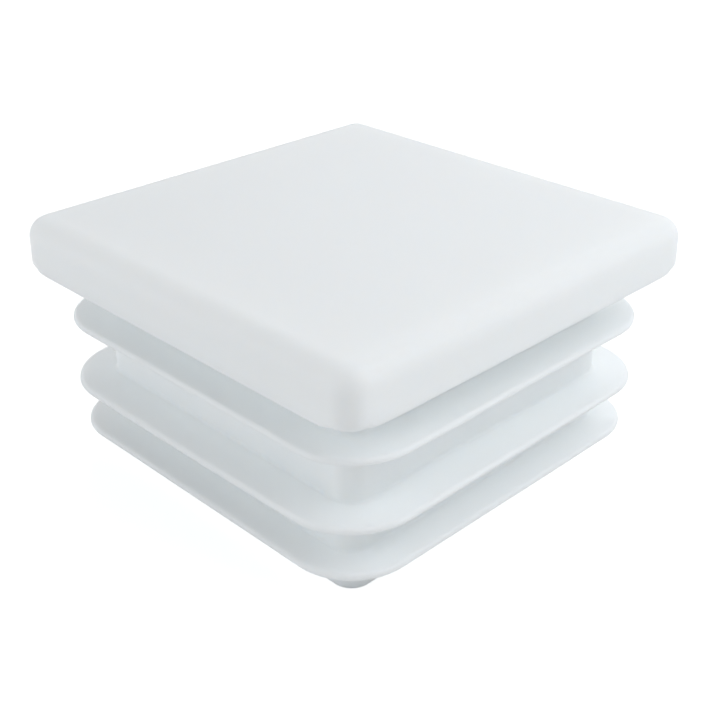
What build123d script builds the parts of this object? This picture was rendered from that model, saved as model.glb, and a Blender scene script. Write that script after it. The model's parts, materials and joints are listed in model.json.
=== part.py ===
from build123d import *
from math import radians, sqrt, tan
import os

# Square ribbed end cap for a square tube, moulded in one piece from white polyethylene.
# Millimetres, +Z up. The origin is the centre of the shoulder, the flat underside of the head
# that seats on the end of the tube. The head is above it, the stem and its fins below.

# Head: the square plate that covers the end of the tube.
head_width = 40.0
head_thickness = 4.6
head_draft = 1.5              # degrees, the sides lean in towards the top
head_edge_radius = 1.8        # round the four top edges
head_flat_corner = 0.15       # corner radius left on the flat top inside that rounding
head_under_chamfer = 0.1      # breaks the lower edge
head_plate = 2.6              # plastic left between the hollow and the flat top

# Stem: the straight square tube that carries the fins, open at the bottom.
stem_width = 31.0
stem_length = 17.9            # from the shoulder to the open rim
stem_corner = 1.9
stem_wall = 1.8               # at the open rim
stem_lead_in = 0.4            # chamfer round the open rim

# Hollow: the space inside the stem, carried up into the head.
hollow_corner = 1.2
hollow_draft = 0.5            # degrees, it narrows towards the head
hollow_ceiling_radius = 0.6

# Fins: three flexible flanges, flat on top, thick at the stem and thin at their round tips.
upper_fin_depth = 4.15        # from the shoulder to the middle of the tip
middle_fin_depth = 10.0
lower_fin_depth = 14.5
upper_fin_width = 37.9        # across the tips
middle_fin_width = 38.1
lower_fin_width = 37.2
fin_corner = 2.5              # a fin's corner radius where it meets the face of the stem
fin_tip = 0.6                 # thickness at the tip
fin_root = 1.1                # thickness at the stem

# Gate mark: the stub left in the middle of the hollow's ceiling.
gate_width = 1.6
gate_height = 0.4
gate_draft = 10.0             # degrees

quarter_turns = range(4)


def rounded_square(width, corner, z):
    """A square with rounded corners, centred on the axis at height z."""
    return Plane.XY.offset(z) * RectangleRounded(width, width, corner)


def loop_at(shape, z):
    """The edges that lie flat at height z."""
    return shape.edges().filter_by_position(Axis.Z, z - 0.001, z + 0.001)


def head():
    draft_inset = head_thickness * tan(radians(head_draft))
    corner = head_edge_radius + head_flat_corner + draft_inset
    plate = extrude(rounded_square(head_width, corner, 0), head_thickness, taper=head_draft)
    plate = fillet(loop_at(plate, head_thickness), head_edge_radius)
    return chamfer(loop_at(plate, 0), head_under_chamfer)


def stem():
    outline = rounded_square(stem_width, stem_corner, 0)
    body = extrude(outline, stem_length, dir=(0, 0, -1))
    return chamfer(loop_at(body, -stem_length), stem_lead_in)


def fin_section(depth, width):
    """The fin cut through at the middle of a side: flat top, sloping underside, full round tip."""
    reach = width / 2
    root = stem_width / 2 - stem_wall / 2      # halfway into the wall of the stem
    top = fin_tip / 2 - depth
    slope = (fin_root - fin_tip) / (reach - stem_width / 2)
    length = sqrt(1 + slope**2)
    radius = fin_tip / (1 - slope + length)    # touches the top, the underside and the reach
    centre_x, centre_z = reach - radius, top - radius
    underside_x = centre_x + radius * slope / length
    underside_z = centre_z - radius / length
    root_z = underside_z - slope * (underside_x - root)
    return Plane.XZ * make_face(
        [
            Line((root, top), (centre_x, top)),
            ThreePointArc((centre_x, top), (reach, centre_z), (underside_x, underside_z)),
            Line((underside_x, underside_z), (root, root_z)),
            Line((root, root_z), (root, top)),
        ]
    )


def fin(depth, width):
    """The section carried round the stem: straight along the sides, turned about the corners."""
    corner_centre = stem_width / 2 - fin_corner
    section = Pos(0, corner_centre, 0) * fin_section(depth, width)
    side = extrude(section, 2 * corner_centre, dir=(0, -1, 0))
    corner_axis = Axis((corner_centre, corner_centre, 0), (0, 0, 1))
    quarter = side + revolve(section, corner_axis, 90)
    return [Rot(0, 0, 90 * turn) * quarter for turn in quarter_turns]


def hollow():
    mouth_width = stem_width - 2 * stem_wall
    depth = stem_length + head_thickness - head_plate
    core = extrude(rounded_square(mouth_width, hollow_corner, -stem_length), depth, taper=hollow_draft)
    return fillet(loop_at(core, head_thickness - head_plate), hollow_ceiling_radius)


def gate_mark():
    ceiling = Plane.XY.offset(head_thickness - head_plate)
    return extrude(ceiling * Circle(gate_width / 2), gate_height, dir=(0, 0, -1), taper=gate_draft)


def tube_end_cap():
    solid = head() + stem()
    solid += fin(upper_fin_depth, upper_fin_width)
    solid += fin(middle_fin_depth, middle_fin_width)
    solid += fin(lower_fin_depth, lower_fin_width)
    return solid - hollow() + gate_mark()


os.makedirs("parts", exist_ok=True)
end_cap = tube_end_cap()
end_cap.label = "end_cap"
export_step(end_cap, "parts/end_cap.step")
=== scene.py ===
import json
import math

import bpy
from mathutils import Matrix, Vector


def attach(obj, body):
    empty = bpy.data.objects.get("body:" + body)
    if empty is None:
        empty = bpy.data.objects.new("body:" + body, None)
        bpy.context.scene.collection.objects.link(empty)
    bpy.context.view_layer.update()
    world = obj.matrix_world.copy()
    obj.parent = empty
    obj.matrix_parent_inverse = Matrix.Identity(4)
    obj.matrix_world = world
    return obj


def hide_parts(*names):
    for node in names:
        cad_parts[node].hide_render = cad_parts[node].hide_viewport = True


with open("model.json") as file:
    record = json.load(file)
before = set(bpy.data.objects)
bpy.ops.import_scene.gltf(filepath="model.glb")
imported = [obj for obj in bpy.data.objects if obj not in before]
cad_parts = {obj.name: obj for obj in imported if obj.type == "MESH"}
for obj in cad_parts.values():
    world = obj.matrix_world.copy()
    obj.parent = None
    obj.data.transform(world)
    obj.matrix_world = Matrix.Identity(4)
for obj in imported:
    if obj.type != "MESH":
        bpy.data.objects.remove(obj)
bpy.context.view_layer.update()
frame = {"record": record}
scene = bpy.context.scene
mm = 0.001


class Wire:
    # an output of a node: sums written with it become Math nodes in the same tree
    def __init__(self, tree, socket=None):
        self.tree = tree
        self.socket = socket

    def node(self, kind, settings=None, inputs=None, output=0):
        made = self.tree.nodes.new(kind)
        for name, value in (settings or {}).items():
            if name == "stops":
                placeStops(made.color_ramp.elements, value)
            else:
                setattr(made, name, value)
        for name, value in (inputs or {}).items():
            if isinstance(value, Wire):
                self.tree.links.new(value.socket, pick(made.inputs, name))
            else:
                pick(made.inputs, name).default_value = value
        return Wire(self.tree, pick(made.outputs, output)) if made.outputs else made

    def maths(self, operation, *values, clamp=False):
        settings = {"operation": operation, "use_clamp": clamp}
        return self.node("ShaderNodeMath", settings, dict(enumerate(values)))

    def __add__(self, other):
        return self.maths("ADD", self, other)

    def __sub__(self, other):
        return self.maths("SUBTRACT", self, other)

    def __rsub__(self, other):
        return self.maths("SUBTRACT", other, self)

    def __mul__(self, other):
        return self.maths("MULTIPLY", self, other)

    def __truediv__(self, other):
        return self.maths("DIVIDE", self, other)

    def __rtruediv__(self, other):
        return self.maths("DIVIDE", other, self)

    __radd__ = __add__
    __rmul__ = __mul__


def pick(sockets, key):
    # a node shows only the sockets that its settings need, by name or by place
    shown = [socket for socket in sockets if socket.enabled]
    return shown[key] if isinstance(key, int) else next(socket for socket in shown if socket.name == key)


def placeStops(elements, stops):
    while len(elements) < len(stops):
        elements.new(1.0)
    for element, (position, level) in zip(elements, stops):
        element.position = position
        element.color = (level, level, level, 1.0)


# each corner of the moulding's section is a half width, a corner radius in plan, a height and a rounding
cap = {  # millimetres, heights from the shoulder
    "headWidth": 40.0,
    "headDraft": 1.5,  # degrees
    "headCorner": 2.07,  # in plan, at the shoulder
    "headEdge": 1.8,
    "headUnder": 0.1,  # along the sides
    "headUnderCorner": 0.75,
    "headPlate": 2.6,
    "stemWidth": 31.0,
    "stemCorner": 1.9,
    "stemWall": 1.8,
    "rimOuter": 0.4,
    "rimInner": 0.2,
    "fins": [(4.15, 37.9), (10.0, 38.1), (14.5, 37.2)],  # depth of the tip, width across the tips
    "finCorner": 2.5,  # in plan, at the face of the stem
    "finTip": 0.6,
    "tipShare": 0.999,  # of a full round, so that its two arcs stay apart
    "finRoot": 1.1,
    "finRootRound": 0.3,
    "hollowCorner": 1.2,
    "hollowDraft": 0.5,  # degrees
    "ceilingRound": 0.6,
    "gateRadius": 0.8,
    "gateHeight": 0.4,
    "gateDraft": 10.0,  # degrees
    "gateRound": 0.1,
    "turnStep": 12.0,  # degrees of rounding for each row of faces
    "fewestSteps": 3,  # in a rounding
    "support": 0.1,  # rows beside a rounding keep the flats flat
    "shortFlat": 3,  # supports: a shorter flat gets no rows of its own
    "spacing": 0.7,
}


def finCorners(depth, width):
    stemHalf = cap["stemWidth"] / 2
    reach = width / 2
    corner = cap["finCorner"] + reach - stemHalf
    top = cap["finTip"] / 2 - depth
    slope = (cap["finRoot"] - cap["finTip"]) / (reach - stemHalf)
    tipRound = cap["finTip"] / (1 - slope + math.hypot(1, slope)) * cap["tipShare"]
    return [
        (stemHalf, cap["stemCorner"], top, cap["finRootRound"]),
        (reach, corner, top, tipRound),
        (reach, corner, top - cap["finTip"], tipRound),
        (stemHalf, cap["stemCorner"], top - cap["finRoot"], cap["finRootRound"]),
    ]


def capCorners(headTop, rim, headUnder):
    headHalf = cap["headWidth"] / 2
    stemHalf = cap["stemWidth"] / 2
    mouthHalf = stemHalf - cap["stemWall"]
    ceiling = headTop - cap["headPlate"]
    headLean = headTop * math.tan(math.radians(cap["headDraft"]))
    hollowLean = (ceiling - rim) * math.tan(math.radians(cap["hollowDraft"]))
    gateTip = cap["gateRadius"] - cap["gateHeight"] * math.tan(math.radians(cap["gateDraft"]))
    corners = [
        (0, 0, headTop, 0),
        (headHalf - headLean, cap["headCorner"] - headLean, headTop, cap["headEdge"]),
        (headHalf, cap["headCorner"], 0, headUnder),
        (stemHalf, cap["stemCorner"], 0, cap["finRootRound"]),
    ]
    for depth, width in cap["fins"]:
        corners += finCorners(depth, width)
    return corners + [
        (stemHalf, cap["stemCorner"], rim, cap["rimOuter"]),
        (mouthHalf, cap["hollowCorner"], rim, cap["rimInner"]),
        (mouthHalf - hollowLean, cap["hollowCorner"] - hollowLean, ceiling, cap["ceilingRound"]),
        (cap["gateRadius"], cap["gateRadius"], ceiling, cap["gateRound"]),
        (gateTip, gateTip, ceiling - cap["gateHeight"], cap["gateRound"]),
        (0, 0, ceiling - cap["gateHeight"], 0),
    ]


def roundOff(before, corner, after):
    # the arc that takes off one corner; the plan radius grows and shrinks with the half width
    half, plan, height, rounding = corner
    if rounding == 0:
        return [Vector((half, plan, height))]
    here = Vector((half, height))
    inwards = (Vector((before[0], before[2])) - here).normalized()
    outwards = (Vector((after[0], after[2])) - here).normalized()
    turn = math.pi - inwards.angle(outwards)
    start = here + inwards * rounding * math.tan(turn / 2)
    middle = here + (inwards + outwards).normalized() * rounding / math.cos(turn / 2)
    side = math.copysign(1, inwards.cross(outwards))
    steps = max(cap["fewestSteps"], math.ceil(math.degrees(turn) / cap["turnStep"]))
    arc = []
    for step in range(steps + 1):
        swing = Matrix.Rotation(-side * turn * step / steps, 2)
        point = middle + swing @ (start - middle)
        arc.append(Vector((point.x, plan + point.x - half, point.y)))
    return arc


def legSteps(start, end):
    length = (end - start).length
    if length < cap["shortFlat"] * cap["support"]:
        return 0
    return max(1, round(length / cap["spacing"]))


def alongLeg(start, end, steps):
    # rows on a flat: one close to each end, the rest evenly spaced
    if steps == 0:
        return []
    edge = cap["support"] / (end - start).length
    return [start.lerp(end, edge + (1 - 2 * edge) * step / steps) for step in range(steps + 1)]


def buildSections(headTop, rim):
    # the section along a side and the one at a corner, row for row
    both = []
    for headUnder in (cap["headUnder"], cap["headUnderCorner"]):
        corners = capCorners(headTop, rim, headUnder)
        befores = corners[:1] + corners[:-1]
        afters = corners[1:] + corners[-1:]
        arcs = [roundOff(before, corner, after) for before, corner, after in zip(befores, corners, afters)]
        if not both:
            steps = [legSteps(before[-1], after[0]) for before, after in zip(arcs, arcs[1:])]
        points = list(arcs[0])
        for previous, arc, count in zip(arcs, arcs[1:], steps):
            points += alongLeg(previous[-1], arc[0], count) + arc
        both.append(points)
    return both


# every row of the section is carried round its own rounded square
sweep = {
    "Side Steps": 36,
    "Corner Steps": 14,
    "Side Crowding": 0.85,  # rows of faces gather towards the corners
    "Corner Reach": 8.0,  # how closely the corner's own form keeps to the corner
    "Fin Wave": 0.45 * mm,
    "Wave Scale": 30.0,
    "Wave Detail": 1.0,
    "Wave Layers": 4.0,  # the fins flex apart from each other
    "Wave Seed": 2621.0,
    "Merge Distance": 0.002 * mm,  # closes the seam and the two rows at the middle
}


def sectionObject(points, cornerPoints):
    stemHalf = cap["stemWidth"] / 2
    finHalf = max(width for depth, width in cap["fins"]) / 2
    headEnd = -cap["finRoot"]  # the head above it stays stiff
    mesh = bpy.data.meshes.new("endCapSection")
    mesh.from_pydata([point * mm for point in points], [(i, i + 1) for i in range(len(points) - 1)], [])
    bend = mesh.attributes.new("bend", "FLOAT", "POINT")
    atCorner = mesh.attributes.new("atCorner", "FLOAT_VECTOR", "POINT")
    for item, point in zip(atCorner.data, cornerPoints):
        item.vector = point * mm
    for item, point in zip(bend.data, points):
        reach = max(0.0, (point.x - stemHalf) / (finHalf - stemHalf)) if point.z < headEnd else 0.0
        item.value = reach * reach
    section = bpy.data.objects.new("endCapSection", mesh)
    scene.collection.objects.link(section)
    return section


def sweepTree():
    tree = bpy.data.node_groups.new("sectionSweep", "GeometryNodeTree")
    tree.interface.new_socket("Section", in_out="INPUT", socket_type="NodeSocketGeometry")
    for name, value in sweep.items():
        kind = "NodeSocketInt" if isinstance(value, int) else "NodeSocketFloat"
        tree.interface.new_socket(name, in_out="INPUT", socket_type=kind)
    tree.interface.new_socket("Material", in_out="INPUT", socket_type="NodeSocketMaterial")
    tree.interface.new_socket("Geometry", in_out="OUTPUT", socket_type="NodeSocketGeometry")
    given = tree.nodes.new("NodeGroupInput")
    link = Wire(tree)
    value = {socket.name: Wire(tree, socket) for socket in given.outputs}

    section = value["Section"]
    quarter = value["Side Steps"] + value["Corner Steps"]
    columns = 4 * quarter + 1
    rows = link.node("GeometryNodeAttributeDomainSize", inputs={"Geometry": section}, output="Point Count")
    grid = link.node("GeometryNodeMeshGrid", inputs={"Vertices X": rows, "Vertices Y": columns})

    index = link.node("GeometryNodeInputIndex")
    row = link.maths("FLOOR", (index + 0.5) / columns)
    column = link.maths("MODULO", index - row * columns, 4 * quarter)
    turn = link.maths("FLOOR", (column + 0.5) / quarter)
    step = column - turn * quarter

    place = link.node("GeometryNodeInputPosition")
    sample = {"data_type": "FLOAT_VECTOR", "domain": "POINT"}
    station = link.node("GeometryNodeSampleIndex", sample, {"Geometry": section, "Value": place, "Index": row})
    corner = link.node("GeometryNodeInputNamedAttribute", {"data_type": "FLOAT_VECTOR"}, {"Name": "atCorner"})
    corner = link.node("GeometryNodeSampleIndex", sample, {"Geometry": section, "Value": corner, "Index": row})
    along = link.maths("DIVIDE", step, value["Side Steps"], clamp=True)
    nearCorner = link.maths("POWER", link.maths("ABSOLUTE", along * 2 - 1), value["Corner Reach"])
    station = link.node("ShaderNodeMix", {"data_type": "VECTOR"}, {
        "Factor": nearCorner, "A": station, "B": corner})
    station = link.node("ShaderNodeSeparateXYZ", inputs={"Vector": station})
    half, plan, height = (Wire(tree, station.socket.node.outputs[axis]) for axis in "XYZ")
    bend = link.node("GeometryNodeInputNamedAttribute", {"data_type": "FLOAT"}, {"Name": "bend"})
    bend = link.node("GeometryNodeSampleIndex", {"data_type": "FLOAT", "domain": "POINT"},
                     {"Geometry": section, "Value": bend, "Index": row})

    ripple = link.maths("SINE", along * math.tau) / math.tau
    along = along - ripple * value["Side Crowding"]
    rounded = link.maths("DIVIDE", step - value["Side Steps"], value["Corner Steps"], clamp=True)
    angle = rounded * (math.pi / 2)
    middle = half - plan
    x = middle + plan * link.maths("COSINE", angle)
    y = middle * (2 * along - 1) + plan * link.maths("SINE", angle)
    flat = link.node("ShaderNodeCombineXYZ", inputs={"X": x, "Y": y, "Z": height})
    placed = link.node("ShaderNodeVectorRotate", {"rotation_type": "Z_AXIS"},
                       {"Vector": flat, "Angle": turn * (math.pi / 2)})

    layered = link.node("ShaderNodeCombineXYZ", inputs={"X": 1.0, "Y": 1.0, "Z": value["Wave Layers"]})
    layered = link.node("ShaderNodeVectorMath", {"operation": "MULTIPLY"}, {0: placed, 1: layered})
    wave = link.node("ShaderNodeTexNoise", {"noise_dimensions": "4D"}, {
        "Vector": layered,
        "W": value["Wave Seed"],
        "Scale": value["Wave Scale"],
        "Detail": value["Wave Detail"],
    })
    lift = (wave - 0.5) * 2 * value["Fin Wave"] * bend
    lift = link.node("ShaderNodeCombineXYZ", inputs={"Z": lift})
    shaped = link.node("GeometryNodeSetPosition", inputs={"Geometry": grid, "Position": placed, "Offset": lift})
    closed = link.node("GeometryNodeMergeByDistance", inputs={
        "Geometry": shaped, "Distance": value["Merge Distance"]})
    smooth = link.node("GeometryNodeSetShadeSmooth", inputs={"Geometry": closed})
    real = link.node("GeometryNodeRealizeInstances", inputs={"Geometry": smooth})
    painted = link.node("GeometryNodeSetMaterial", inputs={"Geometry": real, "Material": value["Material"]})
    finished = tree.nodes.new("NodeGroupOutput")
    tree.links.new(painted.socket, finished.inputs["Geometry"])
    return tree


def plainMesh(source, tree, values, name):
    modifier = source.modifiers.new("sweep", "NODES")
    modifier.node_group = tree
    sockets = {item.name: item.identifier for item in tree.interface.items_tree if item.in_out == "INPUT"}
    for label, value in values.items():
        modifier[sockets[label]] = value
    evaluated = source.evaluated_get(bpy.context.evaluated_depsgraph_get())
    mesh = bpy.data.meshes.new_from_object(evaluated)
    mesh.name = name
    source.modifiers.remove(modifier)
    bpy.data.objects.remove(source)
    piece = bpy.data.objects.new(name, mesh)
    scene.collection.objects.link(piece)
    return piece


polyethylene = {  # a scale counts the patches in one metre
    "colour": (0.91, 0.945, 0.95, 1.0),
    "dimColour": (0.888, 0.926, 0.931, 1.0),
    "cloudScale": 160,
    "cloudShare": 0.7,  # of the change in colour
    "roughness": (0.5, 0.64),
    "ior": 1.51,
    "subsurface": 1.0,
    "scatter": 2.0 * mm,
    "scatterTint": (1.0, 0.95, 0.9),
    "grainScale": 3800,
    "grainShare": 0.3,
    "grainHeight": 0.004 * mm,
    "rollScale": 240,
    "rollHeight": 0.03 * mm,
    "scuffScale": 420,
    "scuffPatches": 90,
    "scuffTurn": (0, 0, 0.6),
    "scuffStretch": (1, 14, 1),
    "scuffStops": [(0.62, 0.0), (0.75, 1.0)],
    "scuffDepth": 0.003 * mm,
    "scuffRoughness": 0.08,
}


def polyethyleneMaterial():
    # satin and slightly translucent: cloudy colour, fine spark-eroded grain, long slow rolls and light scuffs
    material = bpy.data.materials.new("whitePolyethylene")
    material.use_nodes = True
    tree = material.node_tree
    tree.nodes.clear()
    link = Wire(tree)
    place = link.node("ShaderNodeTexCoord", output="Object")

    def noise(scale, detail=2.0, rough=0.5, vector=place):
        return link.node("ShaderNodeTexNoise", {}, {
            "Vector": vector, "Scale": scale, "Detail": detail, "Roughness": rough})

    cloud = noise(polyethylene["cloudScale"], detail=3.0)
    roll = noise(polyethylene["rollScale"], detail=1.0)
    grain = noise(polyethylene["grainScale"])
    stretched = link.node("ShaderNodeMapping", {}, {
        "Vector": place, "Rotation": polyethylene["scuffTurn"], "Scale": polyethylene["scuffStretch"]})
    scuff = noise(polyethylene["scuffScale"], detail=4.0, rough=0.7, vector=stretched)
    scuff = link.node("ShaderNodeValToRGB", {"stops": polyethylene["scuffStops"]}, {"Fac": scuff})
    scuff = noise(polyethylene["scuffPatches"], detail=1.0) * scuff

    colour = link.node("ShaderNodeMix", {"data_type": "RGBA"}, {
        "Factor": cloud * polyethylene["cloudShare"] + grain * polyethylene["grainShare"],
        "A": polyethylene["dimColour"],
        "B": polyethylene["colour"],
    })
    low, high = polyethylene["roughness"]
    rough = cloud * (high - low) + low + scuff * polyethylene["scuffRoughness"]
    relief = grain * polyethylene["grainHeight"] + roll * polyethylene["rollHeight"]
    relief = relief - scuff * polyethylene["scuffDepth"]
    bump = link.node("ShaderNodeBump", {}, {"Height": relief, "Distance": 1.0, "Strength": 1.0})
    shade = link.node("ShaderNodeBsdfPrincipled", {"subsurface_method": "RANDOM_WALK"}, {
        "Base Color": colour,
        "Roughness": rough,
        "Normal": bump,
        "IOR": polyethylene["ior"],
        "Subsurface Weight": polyethylene["subsurface"],
        "Subsurface Radius": polyethylene["scatterTint"],
        "Subsurface Scale": polyethylene["scatter"],
    })
    link.node("ShaderNodeOutputMaterial", {}, {"Surface": shade})
    return material


floorLook = {
    "colour": (0.9, 0.9, 0.9, 1.0),
    "lift": (0.55, 0.55, 0.55, 1.0),
    "farLift": (0.76, 0.76, 0.76, 1.0),  # where the lamps don't reach
    "farAt": 0.6,  # metres
}


def floorMaterial():
    # pale and matt; what the camera sees of it is lifted to white and still takes the shadow near the cap
    material = bpy.data.materials.new("paleFloor")
    material.use_nodes = True
    tree = material.node_tree
    tree.nodes.clear()
    link = Wire(tree)
    place = link.node("ShaderNodeTexCoord", output="Object")
    away = link.node("ShaderNodeVectorMath", {"operation": "LENGTH"}, {0: place}, "Value")
    away = link.maths("DIVIDE", away, floorLook["farAt"], clamp=True)
    lift = link.node("ShaderNodeMix", {"data_type": "RGBA"}, {
        "Factor": away, "A": floorLook["lift"], "B": floorLook["farLift"]})
    paint = link.node("ShaderNodeBsdfDiffuse", {}, {"Color": floorLook["colour"]})
    glow = link.node("ShaderNodeEmission", {}, {"Color": lift, "Strength": whatIsSeen(link)})
    both = link.node("ShaderNodeAddShader", {}, {0: paint, 1: glow})
    link.node("ShaderNodeOutputMaterial", {}, {"Surface": both})
    return material


def whatIsSeen(link):
    # 1 for rays that the camera, a gloss or a clear piece sends, else 0
    path = link.node("ShaderNodeLightPath").socket.node
    camera, gloss, clear = (Wire(link.tree, path.outputs[name]) for name in (
        "Is Camera Ray", "Is Glossy Ray", "Is Transmission Ray"))
    return link.maths("MAXIMUM", camera, link.maths("MAXIMUM", gloss, clear))


studio = {
    "worldFill": 0.32,
    "worldColour": (1.0, 1.0, 1.0, 1.0),
    "floorSize": 6.0,  # metres
    "floorGap": 0.02 * mm,  # keeps the floor off the rim's own plane
    "lampColour": (0.925, 0.962, 1.0),
    "lamps": {  # where each stands, in metres from the cap, its width and its watts
        "keyRight": ((0.172, 0.101, 0.167), 0.21, 0.37),
        "lowLeft": ((-0.238, -0.420, 0.129), 0.4, 1.07),
        "back": ((-0.194, 0.330, 0.321), 0.4, 0.59),
    },
}


def areaLamp(name, place, size, watts):
    data = bpy.data.lights.new(name, "AREA")
    data.shape = "SQUARE"
    data.size = size
    data.energy = watts
    data.color = studio["lampColour"]
    lamp = bpy.data.objects.new(name, data)
    lamp.location = place
    lamp.rotation_euler = (-Vector(place)).to_track_quat("-Z", "Y").to_euler()
    scene.collection.objects.link(lamp)


def lightStudio():
    world = bpy.data.worlds.new("softRoom")
    scene.world = world
    world.use_nodes = True
    world.node_tree.nodes.clear()
    link = Wire(world.node_tree)
    seen = whatIsSeen(link)
    strength = seen * (1.0 - studio["worldFill"]) + studio["worldFill"]
    sky = link.node("ShaderNodeBackground", {}, {"Color": studio["worldColour"], "Strength": strength})
    link.node("ShaderNodeOutputWorld", {}, {"Surface": sky})
    for name, settings in studio["lamps"].items():
        areaLamp(name, *settings)


def layFloor(height):
    half = studio["floorSize"] / 2
    height -= studio["floorGap"]
    mesh = bpy.data.meshes.new("floor")
    corners = [(-half, -half, height), (half, -half, height), (half, half, height), (-half, half, height)]
    mesh.from_pydata(corners, [], [(0, 1, 2, 3)])
    mesh.materials.append(floorMaterial())
    floor = bpy.data.objects.new("floor", mesh)
    scene.collection.objects.link(floor)


view = {
    "azimuth": 45.45,  # degrees from looking along +Y
    "elevation": 28.34,
    "roll": -0.09,
    "lens": 59.67,
    "sensor": 36.0,
    "clipStart": 0.01,
    "pivot": (0.0, 0.0, -4.0 * mm),
    "shiftedBy": (0.536 * mm, -4.512 * mm, 103.99 * mm),  # right, up and back from the pivot
}


def placeCamera():
    data = bpy.data.cameras.new("studioCamera")
    data.lens = view["lens"]
    data.sensor_width = view["sensor"]
    data.clip_start = view["clipStart"]
    camera = bpy.data.objects.new("studioCamera", data)
    turned = Matrix.Rotation(math.radians(view["azimuth"]), 4, "Z")
    turned = turned @ Matrix.Rotation(math.radians(90 - view["elevation"]), 4, "X")
    stand = Matrix.Translation(view["pivot"]) @ turned @ Matrix.Translation(view["shiftedBy"])
    camera.matrix_world = stand @ Matrix.Rotation(math.radians(view["roll"]), 4, "Z")
    scene.collection.objects.link(camera)
    scene.camera = camera


mounts = {mount["name"]: mount["pos_m"][2] / mm for mount in frame["record"]["mounts"]}
headTop, rim = mounts["head_top"], mounts["stem_rim"]
points, cornerPoints = buildSections(headTop, rim)
print("section:", len(points), "rows")

plastic = polyethyleneMaterial()
section = sectionObject(points, cornerPoints)
endCap = plainMesh(section, sweepTree(), {**sweep, "Material": plastic}, "endCap")
print("end cap:", len(endCap.data.polygons), "faces")
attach(endCap, "root")
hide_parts("end_cap")

layFloor(rim * mm)
lightStudio()
placeCamera()
scene.view_settings.view_transform = "Standard"
print("studio: lit and framed")
